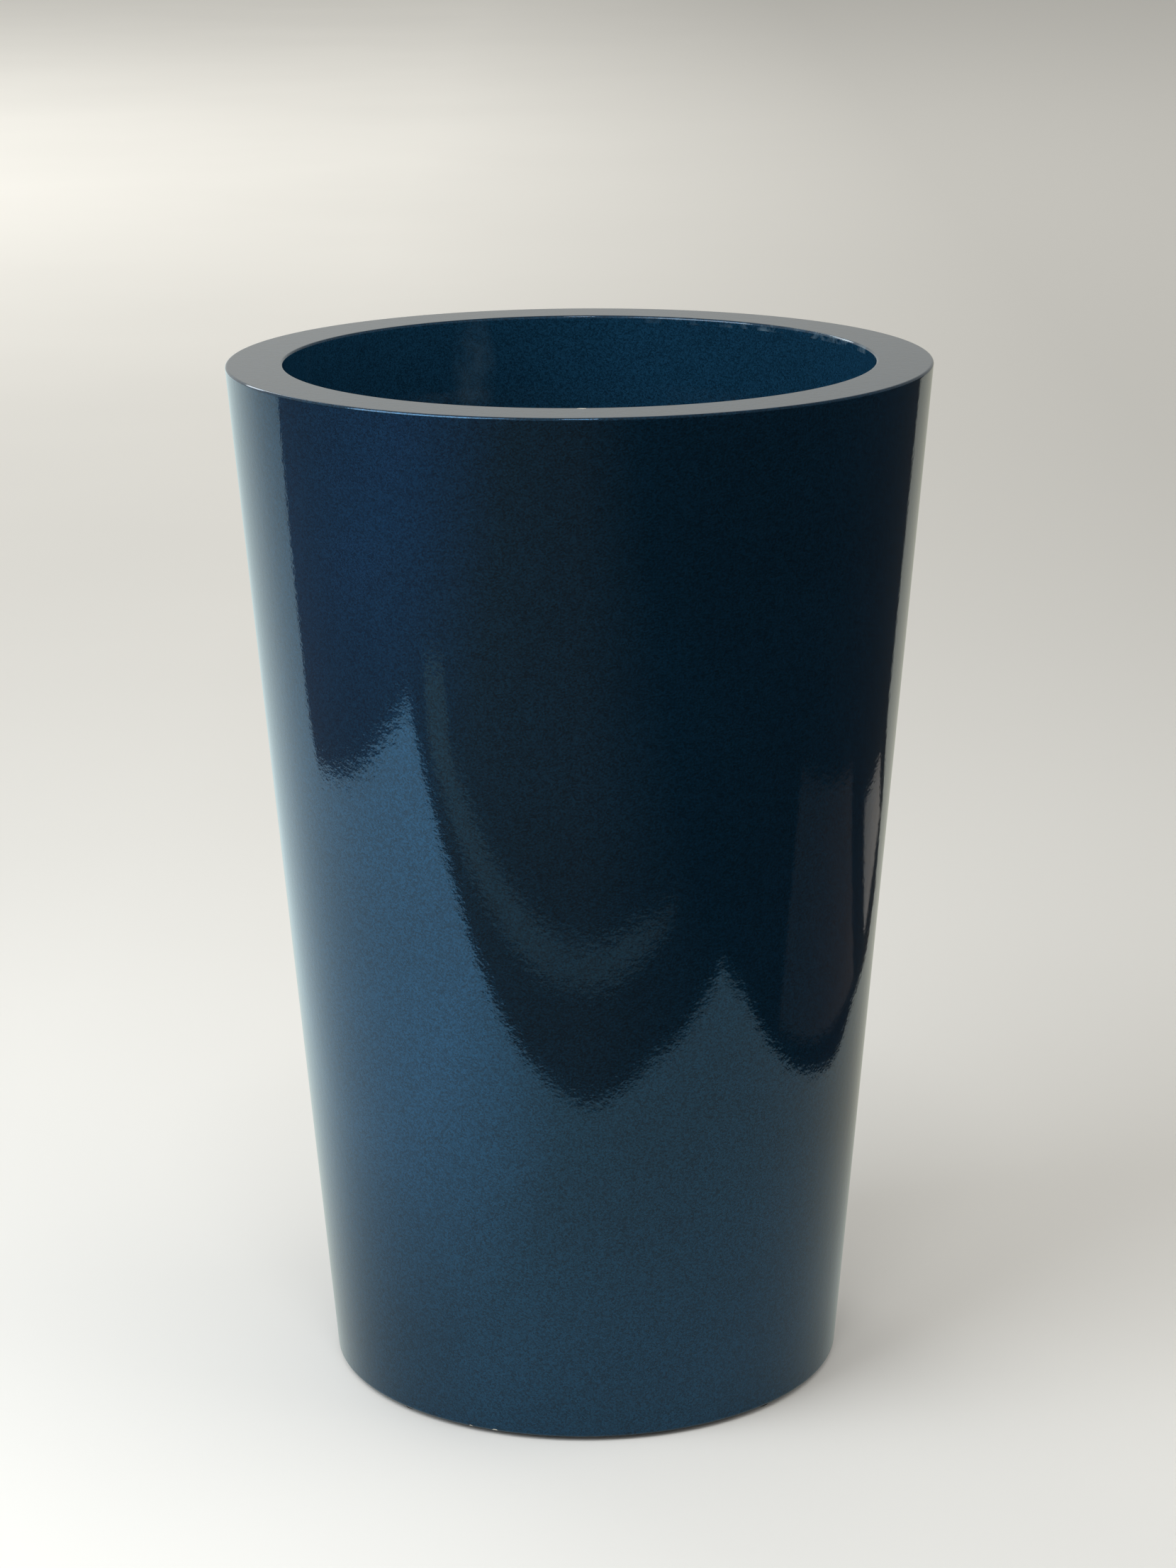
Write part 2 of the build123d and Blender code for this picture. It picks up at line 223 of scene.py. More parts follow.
def add_rod(work, radius, low, high, place):
    middle = Matrix.Translation((place[0], place[1], (low + high) / 2))
    bmesh.ops.create_cone(work, cap_ends=True, cap_tris=False, segments=48, radius1=radius,
                          radius2=radius, depth=high - low, matrix=middle)


def round_ring(radius, count, first):
    return [(radius * math.cos(first + i * math.tau / count),
             radius * math.sin(first + i * math.tau / count)) for i in range(count)]


def cut(piece, cutter):
    step = piece.modifiers.new("Cut", "BOOLEAN")
    step.operation = "DIFFERENCE"
    step.solver = "EXACT"
    step.object = cutter


# Geometry Nodes


def enabled(sockets, name):
    return next(socket for socket in sockets if socket.name == name and socket.enabled)


def new_tree(name, inputs):
    tree = bpy.data.node_groups.new(name, "GeometryNodeTree")
    tree.interface.new_socket("Geometry", in_out="INPUT", socket_type="NodeSocketGeometry")
    for label, kind, default in inputs:
        socket = tree.interface.new_socket(label, in_out="INPUT", socket_type=kind)
        if default is not None:
            socket.default_value = default
    tree.interface.new_socket("Geometry", in_out="OUTPUT", socket_type="NodeSocketGeometry")
    return tree


def put(tree, value, socket):
    """Links another node's output to a socket, or sets a plain value on it."""
    if hasattr(value, "is_linked"):
        tree.links.new(value, socket)
    else:
        socket.default_value = value


def sum_node(tree, operation, first, second=None):
    node = tree.nodes.new("ShaderNodeMath")
    node.operation = operation
    put(tree, first, node.inputs[0])
    if second is not None:
        put(tree, second, node.inputs[1])
    return node.outputs[0]


def end_tree(tree, geometry, given):
    """The last steps of every tree: real geometry, then its material."""
    smooth = tree.nodes.new("GeometryNodeSetShadeSmooth")
    real = tree.nodes.new("GeometryNodeRealizeInstances")
    finish = tree.nodes.new("GeometryNodeSetMaterial")
    result = tree.nodes.new("NodeGroupOutput")
    tree.links.new(geometry, real.inputs["Geometry"])
    tree.links.new(real.outputs["Geometry"], smooth.inputs["Geometry"])
    tree.links.new(smooth.outputs["Geometry"], finish.inputs["Geometry"])
    tree.links.new(given.outputs["Material"], finish.inputs["Material"])
    tree.links.new(finish.outputs["Geometry"], result.inputs["Geometry"])


def turned_piece_tree():
    """Turns an outline of (radius, 0, level) points about the upright axis."""
    tree = new_tree("Turned Piece", [("Segments", "NodeSocketInt", 96),
                                     ("Material", "NodeSocketMaterial", None)])
    given = tree.nodes.new("NodeGroupInput")
    size = tree.nodes.new("GeometryNodeAttributeDomainSize")
    size.component = "MESH"
    tree.links.new(given.outputs["Geometry"], size.inputs["Geometry"])
    around = sum_node(tree, "ADD", given.outputs["Segments"], 1.0)
    grid = tree.nodes.new("GeometryNodeMeshGrid")
    tree.links.new(size.outputs["Point Count"], grid.inputs["Vertices X"])
    tree.links.new(around, grid.inputs["Vertices Y"])
    index = tree.nodes.new("GeometryNodeInputIndex").outputs[0]
    row = sum_node(tree, "FLOOR", sum_node(tree, "DIVIDE", index, around))
    column = sum_node(tree, "MODULO", index, around)
    part_turn = sum_node(tree, "DIVIDE", math.tau, given.outputs["Segments"])
    angle = sum_node(tree, "MULTIPLY", column, part_turn)
    place = tree.nodes.new("GeometryNodeInputPosition")
    sample = tree.nodes.new("GeometryNodeSampleIndex")
    sample.data_type = "FLOAT_VECTOR"
    sample.domain = "POINT"
    tree.links.new(given.outputs["Geometry"], sample.inputs["Geometry"])
    tree.links.new(place.outputs[0], enabled(sample.inputs, "Value"))
    tree.links.new(row, sample.inputs["Index"])
    apart = tree.nodes.new("ShaderNodeSeparateXYZ")
    tree.links.new(enabled(sample.outputs, "Value"), apart.inputs[0])
    together = tree.nodes.new("ShaderNodeCombineXYZ")
    across = sum_node(tree, "MULTIPLY", apart.outputs["X"], sum_node(tree, "COSINE", angle))
    along = sum_node(tree, "MULTIPLY", apart.outputs["X"], sum_node(tree, "SINE", angle))
    tree.links.new(across, together.inputs["X"])
    tree.links.new(along, together.inputs["Y"])
    tree.links.new(apart.outputs["Z"], together.inputs["Z"])
    move = tree.nodes.new("GeometryNodeSetPosition")
    tree.links.new(grid.outputs["Mesh"], move.inputs["Geometry"])
    tree.links.new(together.outputs[0], move.inputs["Position"])
    merge = tree.nodes.new("GeometryNodeMergeByDistance")
    merge.inputs["Distance"].default_value = 1e-6
    tree.links.new(move.outputs["Geometry"], merge.inputs["Geometry"])
    end_tree(tree, merge.outputs["Geometry"], given)
    return tree


def ring_of_fixings_tree():
    """Copies one fixing to a ring, each turned by its own amount."""
    tree = new_tree("Ring of Fixings", [("Count", "NodeSocketInt", 6),
                                        ("Ring Radius", "NodeSocketFloat", 0.1),
                                        ("First Angle", "NodeSocketFloat", 0.0),
                                        ("Seed", "NodeSocketInt", 5),
                                        ("Material", "NodeSocketMaterial", None)])
    given = tree.nodes.new("NodeGroupInput")
    ring = tree.nodes.new("GeometryNodeMeshCircle")
    tree.links.new(given.outputs["Count"], ring.inputs["Vertices"])
    tree.links.new(given.outputs["Ring Radius"], ring.inputs["Radius"])
    turn = tree.nodes.new("FunctionNodeRandomValue")
    turn.data_type = "FLOAT"
    enabled(turn.inputs, "Min").default_value = 0.0
    enabled(turn.inputs, "Max").default_value = math.tau
    tree.links.new(given.outputs["Seed"], turn.inputs["Seed"])
    heading = tree.nodes.new("ShaderNodeCombineXYZ")
    tree.links.new(enabled(turn.outputs, "Value"), heading.inputs["Z"])
    copies = tree.nodes.new("GeometryNodeInstanceOnPoints")
    tree.links.new(ring.outputs["Mesh"], copies.inputs["Points"])
    tree.links.new(given.outputs["Geometry"], copies.inputs["Instance"])
    tree.links.new(heading.outputs[0], copies.inputs["Rotation"])
    start = tree.nodes.new("ShaderNodeCombineXYZ")
    tree.links.new(given.outputs["First Angle"], start.inputs["Z"])
    swing = tree.nodes.new("GeometryNodeTransform")
    tree.links.new(copies.outputs["Instances"], swing.inputs["Geometry"])
    tree.links.new(start.outputs[0], swing.inputs["Rotation"])
    end_tree(tree, swing.outputs["Geometry"], given)
    return tree


def add_tree(piece, tree, values):
    step = piece.modifiers.new("Build", "NODES")
    step.node_group = tree
    for item in tree.interface.items_tree:
        if item.in_out == "INPUT" and item.name in values:
            step[item.identifier] = values[item.name]
    return step


def turned(name, outline, segments, material):
    """An outline turned about the upright axis, as an object of its own."""
    outline_piece = outline_object(name + "_outline", outline)
    add_tree(outline_piece, turned_piece_tree(), {"Segments": segments, "Material": material})
    piece = add_object(name, finished_mesh(outline_piece, name))
    drop_object(outline_piece)
    return piece


# Materials


def start_material(name):
    material = bpy.data.materials.new(name)
    material.use_nodes = True
    tree = material.node_tree
    shader = tree.nodes["Principled BSDF"]
    place = tree.nodes.new("ShaderNodeTexCoord").outputs["Object"]
    return material, tree, shader, place


def mixed(tree, factor, first, second):
    node = tree.nodes.new("ShaderNodeMix")
    node.data_type = "RGBA"
    put(tree, factor, node.inputs[0])
    for value, socket in ((first, node.inputs[6]), (second, node.inputs[7])):
        put(tree, value if hasattr(value, "is_linked") else (*value, 1.0), socket)
    return node.outputs[2]


def mixed_value(tree, factor, first, second):
    node = tree.nodes.new("ShaderNodeMix")
    put(tree, factor, node.inputs[0])
    put(tree, first, node.inputs[2])
    put(tree, second, node.inputs[3])
    return node.outputs[0]


def noise(tree, place, scale, detail=2.0):
    node = tree.nodes.new("ShaderNodeTexNoise")
    node.inputs["Scale"].default_value = scale
    node.inputs["Detail"].default_value = detail
    tree.links.new(place, node.inputs["Vector"])
    return node.outputs["Fac"]


def ranged(tree, value, low, high, new_low=0.0, new_high=1.0):
    node = tree.nodes.new("ShaderNodeMapRange")
    put(tree, value, node.inputs["Value"])
    node.inputs["From Min"].default_value = low
    node.inputs["From Max"].default_value = high
    node.inputs["To Min"].default_value = new_low
    node.inputs["To Max"].default_value = new_high
    return node.outputs["Result"]


def bump(tree, height, strength, distance, under=None):
    node = tree.nodes.new("ShaderNodeBump")
    node.inputs["Strength"].default_value = strength
    node.inputs["Distance"].default_value = distance
    tree.links.new(height, node.inputs["Height"])
    if under is not None:
        tree.links.new(under, node.inputs["Normal"])
    return node.outputs["Normal"]


def span_from(tree, place, centre, half_size):
    """Distance from a point, as a share of a half size in each direction."""
    node = tree.nodes.new("ShaderNodeVectorMath")
    node.operation = "SUBTRACT"
    tree.links.new(place, node.inputs[0])
    node.inputs[1].default_value = centre
    scaled = tree.nodes.new("ShaderNodeVectorMath")
    scaled.operation = "DIVIDE"
    tree.links.new(node.outputs[0], scaled.inputs[0])
    scaled.inputs[1].default_value = half_size
    span = tree.nodes.new("ShaderNodeVectorMath")
    span.operation = "LENGTH"
    tree.links.new(scaled.outputs[0], span.inputs[0])
    return span.outputs["Value"]


def spot(tree, place, centre, half_size, ragged):
    """1 inside a ragged spot about a point, 0 outside it."""
    rough = sum_node(tree, "MULTIPLY", noise(tree, place, 900.0), ragged)
    span = span_from(tree, place, centre, half_size)
    return sum_node(tree, "LESS_THAN", sum_node(tree, "ADD", span, rough), 1.0)


def distance_from_axis(tree, place):
    flat = tree.nodes.new("ShaderNodeVectorMath")
    flat.operation = "MULTIPLY"
    tree.links.new(place, flat.inputs[0])
    flat.inputs[1].default_value = (1.0, 1.0, 0.0)
    span = tree.nodes.new("ShaderNodeVectorMath")
    span.operation = "LENGTH"
    tree.links.new(flat.outputs[0], span.inputs[0])
    return span.outputs["Value"]


def axis_value(tree, place, axis):
    apart = tree.nodes.new("ShaderNodeSeparateXYZ")
    tree.links.new(place, apart.inputs[0])
    return apart.outputs[axis]


def flake_shade(tree, place):
    """Makes each metal flake a little lighter or darker than the next."""
    flakes_per_metre = 1500.0
    flake = tree.nodes.new("ShaderNodeTexVoronoi")
    flake.inputs["Scale"].default_value = flakes_per_metre
    tree.links.new(place, flake.inputs["Vector"])
    glint = tree.nodes.new("ShaderNodeSeparateColor")
    tree.links.new(flake.outputs["Color"], glint.inputs[0])
    return ranged(tree, glint.outputs[0], 0.0, 1.0, 0.55, 1.45)


def painted_edge_highlight(tree, place, radius, level, sizes):
    """How much pale film lies on the opening's edge and in one patch of the inner wall: a painted
    highlight on the edge and a painted reflection in the patch.
    """
    opening = sizes.top_radius - sizes.rim_width
    near_edge = sum_node(tree, "LESS_THAN", radius, opening + 0.0014)
    high_up = sum_node(tree, "GREATER_THAN", level, sizes.height - 0.0035)
    far_side = ranged(tree, axis_value(tree, place, "X"), 0.02, 0.12)
    film = ranged(tree, noise(tree, place, 120.0, 5.0), 0.50, 0.72)
    on_edge = sum_node(tree, "MULTIPLY", sum_node(tree, "MULTIPLY", near_edge, high_up),
                       sum_node(tree, "MULTIPLY", far_side, film))
    # Painted reflection: a faint pale patch high on the inner wall.
    painted_haze_place = (-0.057, 0.135, sizes.height - 0.026)
    painted_haze_half_size = (0.014, 0.014, 0.034)
    painted_haze = ranged(tree, span_from(tree, place, painted_haze_place, painted_haze_half_size), 1.0, 0.4)
    painted_haze = sum_node(tree, "MULTIPLY", painted_haze, ranged(tree, noise(tree, place, 90.0), 0.2, 0.7))
    return sum_node(tree, "MAXIMUM", sum_node(tree, "MULTIPLY", on_edge, 0.4),
                    sum_node(tree, "MULTIPLY", painted_haze, 0.07))


def chip_marks(tree, place, sizes):
    """The chip at the front of the opening and two small ones at the foot."""
    opening = sizes.top_radius - sizes.rim_width
    foot = sizes.foot_level
    chips = None
    for centre, half_size in (((0.001, -opening - 0.0016, sizes.height - 0.0006),
                               (0.0045, 0.0030, 0.0022)),
                              ((-0.046, -0.1225, foot + 0.0006), (0.0030, 0.0020, 0.0014)),
                              ((-0.058, -0.1170, foot + 0.0005), (0.0018, 0.0016, 0.0012))):
        mark = spot(tree, place, centre, half_size, 0.9)
        chips = mark if chips is None else sum_node(tree, "MAXIMUM", chips, mark)
    return chips


def blue_lacquer(colours, sizes):
    """Deep blue metallic lacquer under a clear gloss, with a few chips and a painted highlight
    along the inner edge.
    """
    material, tree, shader, place = start_material("Blue lacquer")
    cloud = ranged(tree, noise(tree, place, 7.0, 3.0), 0.35, 0.65)
    blue = mixed(tree, cloud, colours.lacquer, colours.lacquer_deep)
    flaked = tree.nodes.new("ShaderNodeVectorMath")
    flaked.operation = "SCALE"
    tree.links.new(blue, flaked.inputs[0])
    tree.links.new(flake_shade(tree, place), flaked.inputs["Scale"])
    radius = distance_from_axis(tree, place)
    level = axis_value(tree, place, "Z")
    # Painted highlight: pale blue film on the right-hand part of the inner edge, plus the painted
    # reflection patch; both turn the lacquer matt.
    edge_highlight_share = painted_edge_highlight(tree, place, radius, level, sizes)
    chips = chip_marks(tree, place, sizes)
    edge_highlight_blended = mixed(tree, edge_highlight_share, flaked.outputs[0], colours.edge_highlight_colour)
    tree.links.new(mixed(tree, chips, edge_highlight_blended, colours.chipped), shader.inputs["Base Color"])
    highlight_and_chips = sum_node(tree, "MAXIMUM", edge_highlight_share, chips)
    opening = sizes.top_radius - sizes.rim_width
    on_collar = sum_node(tree, "GREATER_THAN", level,
                         sizes.height - sizes.collar_depth - sizes.skin)
    inside = sum_node(tree, "MULTIPLY", on_collar,
                      sum_node(tree, "LESS_THAN", radius, opening + 0.0002))
    metal = mixed_value(tree, highlight_and_chips, mixed_value(tree, inside, 0.78, 0.3), 0.0)
    tree.links.new(metal, shader.inputs["Metallic"])
    smooth = ranged(tree, noise(tree, place, 40.0, 3.0), 0.3, 0.7, 0.045, 0.075)
    tree.links.new(mixed_value(tree, highlight_and_chips, smooth, 0.6), shader.inputs["Roughness"])
    shader.inputs["Coat Weight"].default_value = 0.4
    shader.inputs["Specular IOR Level"].default_value = 0.25
    shader.inputs["Coat Roughness"].default_value = 0.03
    broad_waves = bump(tree, noise(tree, place, 300.0, 1.0), 1.0, 0.000034)
    peel = bump(tree, noise(tree, place, 850.0, 2.0), 1.0, 0.000016, broad_waves)
    tree.links.new(peel, shader.inputs["Normal"])
    tree.links.new(peel, shader.inputs["Coat Normal"])
    return material


def moulded_plastic(name, base, roughness, grain_scale, grain_depth):
    """Matt moulded plastic with a fine grain and faint scuffs."""
    material, tree, shader, place = start_material(name)
    scuff = ranged(tree, noise(tree, place, 55.0, 5.0), 0.52, 0.75)
    lighter = tuple(min(1.0, value * 1.6 + 0.01) for value in base)
    tree.links.new(mixed(tree, scuff, tuple(base), lighter), shader.inputs["Base Color"])
    tree.links.new(ranged(tree, scuff, 0.0, 1.0, roughness, roughness + 0.15),
                   shader.inputs["Roughness"])
    grain = noise(tree, place, grain_scale, 3.0)
    tree.links.new(bump(tree, grain, 0.6, grain_depth), shader.inputs["Normal"])
    return material


def zinc_steel(base):
    """Bright plated steel with fine turning marks."""
    material, tree, shader, place = start_material("Zinc steel")
    tint = mixed(tree, noise(tree, place, 400.0, 3.0), tuple(base), (0.45, 0.47, 0.50))
    tree.links.new(tint, shader.inputs["Base Color"])
    shader.inputs["Metallic"].default_value = 1.0
    tree.links.new(ranged(tree, noise(tree, place, 900.0), 0.3, 0.7, 0.25, 0.4),
                   shader.inputs["Roughness"])
    tree.links.new(bump(tree, noise(tree, place, 2500.0), 0.3, 0.00002),
                   shader.inputs["Normal"])
    return material


def black_rubber(base):
    """Dull rubber with a fine bloom."""
    material, tree, shader, place = start_material("Black rubber")
    bloom = ranged(tree, noise(tree, place, 240.0, 4.0), 0.5, 0.8)
    tree.links.new(mixed(tree, bloom, tuple(base), (0.05, 0.05, 0.05)),
                   shader.inputs["Base Color"])
    tree.links.new(ranged(tree, bloom, 0.0, 1.0, 0.7, 0.9), shader.inputs["Roughness"])
    tree.links.new(bump(tree, noise(tree, place, 1800.0), 0.5, 0.00005),
                   shader.inputs["Normal"])
    return material


def finish_node(name, material):
    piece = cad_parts[name]
    if not piece.material_slots:
        piece.data.materials.append(material)
    for slot in piece.material_slots:
        slot.material = material


# The shell


def wall_radius(sizes, level):
    return sizes.base_radius + (sizes.top_radius - sizes.base_radius) * level / sizes.height


def shell_corners(sizes):
    """Corners of the one moulded skin, from the foot up, over the rim and back down."""
    skin = sizes.skin
    opening = sizes.top_radius - sizes.rim_width
    ledge_level = sizes.height - sizes.collar_depth
    collar_end = opening - sizes.collar_depth * math.tan(sizes.collar_draft)
    ledge_radius = collar_end - sizes.ledge_width
    foot = sizes.foot_level
    riser = wall_radius(sizes, foot) - sizes.foot_width
    recess = foot + sizes.base_recess
    opening_below = riser - sizes.flange_width
    fine = 0.001
    foot_rounding = 0.0018
    ledge_rounding = 0.0015
    under_ledge = 0.005
    flange_edge = 0.0006
    return [
        (wall_radius(sizes, foot), foot, foot_rounding),
        (sizes.top_radius, sizes.height, sizes.rim_edge),
        (opening, sizes.height, sizes.rim_edge),
        (collar_end, ledge_level, fine),
        (ledge_radius, ledge_level, ledge_rounding),
        (ledge_radius, ledge_level - skin, fine),
        (collar_end + skin, ledge_level - skin, under_ledge),
        (opening + skin, sizes.height - skin, fine),
        (wall_radius(sizes, sizes.height - skin) - skin, sizes.height - skin, fine),
        (wall_radius(sizes, foot + skin) - skin, foot + skin, fine),
        (riser + skin, foot + skin, fine),
        (riser + skin, recess + skin, fine),
        (opening_below, recess + skin, flange_edge),
        (opening_below, recess, flange_edge),
        (riser, recess, fine),
        (riser, foot, foot_rounding),
    ]


class PLANTER_OT_shell(bpy.types.Operator):
    """Make the one-piece shell: wall, rim, collar, ledge, foot ring and flange"""
    bl_idname = "planter.shell"
    bl_label = "Shell"

    def execute(self, context):
        sizes = context.scene.planter_shell
        fixings = context.scene.planter_fixings
        lacquer = blue_lacquer(context.scene.planter_colours, sizes)
        rounding_steps = 8
        outline = rounded_outline(shell_corners(sizes), rounding_steps)
        blank = turned("shell_blank", outline, sizes.segments, lacquer)
        work = bmesh.new()
        past = 0.002
        foot = sizes.foot_level
        pad_count = 4
        first_pad = math.radians(45)
        for place in round_ring(fixings.pad_circle, pad_count, first_pad):
            add_rod(work, fixings.pad_radius + fixings.pad_fit, foot - past,
                    foot + fixings.pad_sunk, place)
        recess = foot + sizes.base_recess
        for place in round_ring(fixings.screw_circle, fixings.screw_count, 0.0):
            add_rod(work, fixings.screw_shank_radius + fixings.screw_fit, recess - past,
                    recess + sizes.skin + past, place)
        mesh = bpy.data.meshes.new("shell_holes")
        work.to_mesh(mesh)
        work.free()
        holes = add_object("shell_holes", mesh)
        cut(blank, holes)
        shell = add_object("planter_shell", finished_mesh(blank, "planter_shell"))
        drop_object(blank)
        drop_object(holes)
        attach(shell, "shell")
        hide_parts("shell")
        return {"FINISHED"}


# Screws


def cross_recess(fixings, level):
    """Cross-shaped cutter for a screw head that faces down, narrower at its bottom."""
    radius = fixings.cross_radius
    half = fixings.cross_width / 2
    past = 0.002
    taper = 0.8
    steps = ((radius, -half), (radius, half), (half, half), (half, radius),
             (-half, radius), (-half, half), (-radius, half), (-radius, -half),
             (-half, -half), (-half, -radius), (half, -radius), (half, -half))
    work = bmesh.new()
    low = [work.verts.new((x, y, level - past)) for x, y in steps]
    high = [work.verts.new((x * taper, y * taper, level + fixings.cross_depth))
            for x, y in steps]
    work.faces.new(low)
    work.faces.new(list(reversed(high)))
    for i in range(len(steps)):
        j = (i + 1) % len(steps)
        work.faces.new((low[j], low[i], high[i], high[j]))
    bmesh.ops.recalc_face_normals(work, faces=work.faces)
    mesh = bpy.data.meshes.new("cross_recess")
    work.to_mesh(mesh)
    work.free()
    return add_object("cross_recess", mesh)


class PLANTER_OT_screws(bpy.types.Operator):
    """Make the pan-head screws that hold the water tray to the flange"""
    bl_idname = "planter.screws"
    bl_label = "Tray screws"

    def execute(self, context):
        sizes = context.scene.planter_shell
        fixings = context.scene.planter_fixings
        steel = zinc_steel(context.scene.planter_colours.steel)
        seat = sizes.foot_level + sizes.base_recess
        head = fixings.screw_head_radius
        bottom = seat - fixings.screw_head_height
        shank = fixings.screw_shank_radius
        tip = seat + fixings.screw_length
        outline = [(0.0, bottom), (head * 0.45, bottom + 0.00004),
                   (head * 0.75, bottom + 0.00028), (head * 0.93, bottom + 0.0009),
                   (head, bottom + 0.0016), (head, seat - 0.0002), (head * 0.95, seat),
                   (shank, seat), (shank, tip - 0.0012), (shank * 0.4, tip), (0.0, tip)]
        facets = 32
        blank = turned("screw_blank", outline, facets, steel)
        cross = cross_recess(fixings, bottom)
        cut(blank, cross)
        one = add_object("one_screw", finished_mesh(blank, "one_screw"))
        add_tree(one, ring_of_fixings_tree(),
                 {"Count": fixings.screw_count, "Ring Radius": fixings.screw_circle,
                  "First Angle": 0.0, "Seed": 5, "Material": steel})
        screws = add_object("tray_screw_set", finished_mesh(one, "tray_screw_set"))
        for spare in (blank, cross, one):
            drop_object(spare)
        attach(screws, "shell")
        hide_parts("tray_screws")
        return {"FINISHED"}


# Finishes of the pieces that keep their shape


class PLANTER_OT_mouldings(bpy.types.Operator):
    """Finish the liner, water tray, soil grid, handles and drain plug"""
    bl_idname = "planter.mouldings"
    bl_label = "Moulded pieces"

    def execute(self, context):
        colours = context.scene.planter_colours
        black = moulded_plastic("Black moulding", colours.black_moulding, 0.42, 900.0, 0.00012)
        grey = moulded_plastic("Grey moulding", colours.grey_moulding, 0.38, 1300.0, 0.00008)
        for name in ("liner", "base_tray"):
            finish_node(name, black)
        for name in ("soil_grid", "handle_right", "handle_left", "drain_plug"):
            finish_node(name, grey)
        return {"FINISHED"}


class PLANTER_OT_rubber(bpy.types.Operator):
    """Finish the foot pads and the plug's washer"""
    bl_idname = "planter.rubber"
    bl_label = "Rubber pieces"

    def execute(self, context):
        rubber = black_rubber(context.scene.planter_colours.rubber)
        for name in ("foot_pad_1", "foot_pad_2", "foot_pad_3", "foot_pad_4", "plug_washer"):
            finish_node(name, rubber)
        return {"FINISHED"}


# Stage


def flat_piece(name, outline, level, material):
    mesh = bpy.data.meshes.new(name)
    mesh.from_pydata([(x, y, level) for x, y in outline], [], [range(len(outline))])
    mesh.materials.append(material)
    piece = add_object(name, mesh)
    return piece


def ground_in_gloss(tree, place, colours):
    """The ground beyond the sheet, as the lacquer shows it, with painted light on the left and
    painted shade on the right.
    """
    along_x = axis_value(tree, place, "X")
    left = ranged(tree, along_x, -0.6, -1.4)
    right = ranged(tree, along_x, 0.0, 0.5)
    dark = mixed(tree, left, tuple(colours.ground_front), tuple(colours.ground_lit_in_gloss))
    return mixed(tree, right, dark, tuple(colours.ground_shaded_in_gloss))


def sheet_in_gloss(tree, place, colours):
    """The sheet as the lacquer shows it: a painted lit tone on the left and close to the planter,
    a painted shaded tone in front.
    """
    beside = ranged(tree, axis_value(tree, place, "X"), -0.05, -0.40)
    # Painted light: the sheet in the gloss is paler close to the planter.
    lit_close_by = ranged(tree, distance_from_axis(tree, place), 0.40, 0.18, 0.0, 0.3)
    left = sum_node(tree, "MAXIMUM", beside, lit_close_by)
    return mixed(tree, left, tuple(colours.sheet_shaded_in_gloss), tuple(colours.sheet_lit_in_gloss))


def pale_floor(colours, name, in_gloss):
    """Pale floor, faintly clouded and darker to the right as painted shade, with its own painted
    light and shade in the gloss.
    """
    material, tree, shader, place = start_material(name)
    tone = ranged(tree, noise(tree, place, 1.3, 3.0), 0.3, 0.7)
    pale = tuple(colours.floor)
    clouded = tuple(value * 0.97 for value in pale)
    darker = tuple(value * 0.80 for value in pale)
    # Painted shade: the floor darkens towards the right, away from the light.
    shade_to_the_right = ranged(tree, axis_value(tree, place, "X"), -0.35, 0.7)
    seen = mixed(tree, shade_to_the_right, mixed(tree, tone, pale, clouded), darker)
    path = tree.nodes.new("ShaderNodeLightPath")
    mirrored = in_gloss(tree, place, colours)
    tree.links.new(mixed(tree, path.outputs["Is Glossy Ray"], seen, mirrored),
                   shader.inputs["Base Color"])
    shader.inputs["Roughness"].default_value = 0.55
    shader.inputs["Specular IOR Level"].default_value = 0.2
    return material


def plain_matt(name, tone):
    material, tree, shader, place = start_material(name)
    patchy = ranged(tree, noise(tree, place, 9.0, 3.0), 0.3, 0.7)
    tree.links.new(mixed(tree, patchy, tone, tuple(value * 0.85 for value in tone)),
                   shader.inputs["Base Color"])
    shader.inputs["Roughness"].default_value = 0.8
    return material


def soft_world():
    """Pale for the camera and for gloss, darker towards the right as painted shade, and a plain
    level of soft light.
    """
    world = bpy.data.worlds.new("Soft studio")
    world.use_nodes = True
    tree = world.node_tree
    tree.nodes.clear()
    heading = tree.nodes.new("ShaderNodeTexCoord").outputs["Generated"]
    # Painted shade: the backdrop darkens from the left to the right.
    side = ranged(tree, axis_value(tree, heading, "X"), -0.5, 0.5)
    seen = tree.nodes.new("ShaderNodeBackground")
    tree.links.new(mixed(tree, side, (0.68, 0.69, 0.66), (0.28, 0.28, 0.265)),
                   seen.inputs["Color"])
    light = tree.nodes.new("ShaderNodeBackground")
    light.inputs["Color"].default_value = (0.55, 0.535, 0.50, 1.0)
    path = tree.nodes.new("ShaderNodeLightPath")
    mirrored = sum_node(tree, "MAXIMUM", path.outputs["Is Glossy Ray"],
                        path.outputs["Is Transmission Ray"])
    looked_at = sum_node(tree, "MAXIMUM", path.outputs["Is Camera Ray"], mirrored)
    both = tree.nodes.new("ShaderNodeMixShader")
    tree.links.new(looked_at, both.inputs[0])
    tree.links.new(light.outputs[0], both.inputs[1])
    tree.links.new(seen.outputs[0], both.inputs[2])
    result = tree.nodes.new("ShaderNodeOutputWorld")
    tree.links.new(both.outputs[0], result.inputs["Surface"])
    bpy.context.scene.world = world


def soft_lamp(name, place, target, size, power, tint):
    lamp = bpy.data.lights.new(name, "AREA")
    lamp.shape = "SQUARE"
    lamp.size = size
    lamp.energy = power
    lamp.color = tint
    holder = bpy.data.objects.new(name, lamp)
    bpy.context.scene.collection.objects.link(holder)
    holder.location = place
    holder.rotation_euler = (Vector(target) - Vector(place)).to_track_quat("-Z", "Y").to_euler()
    holder.visible_camera = False
    return holder


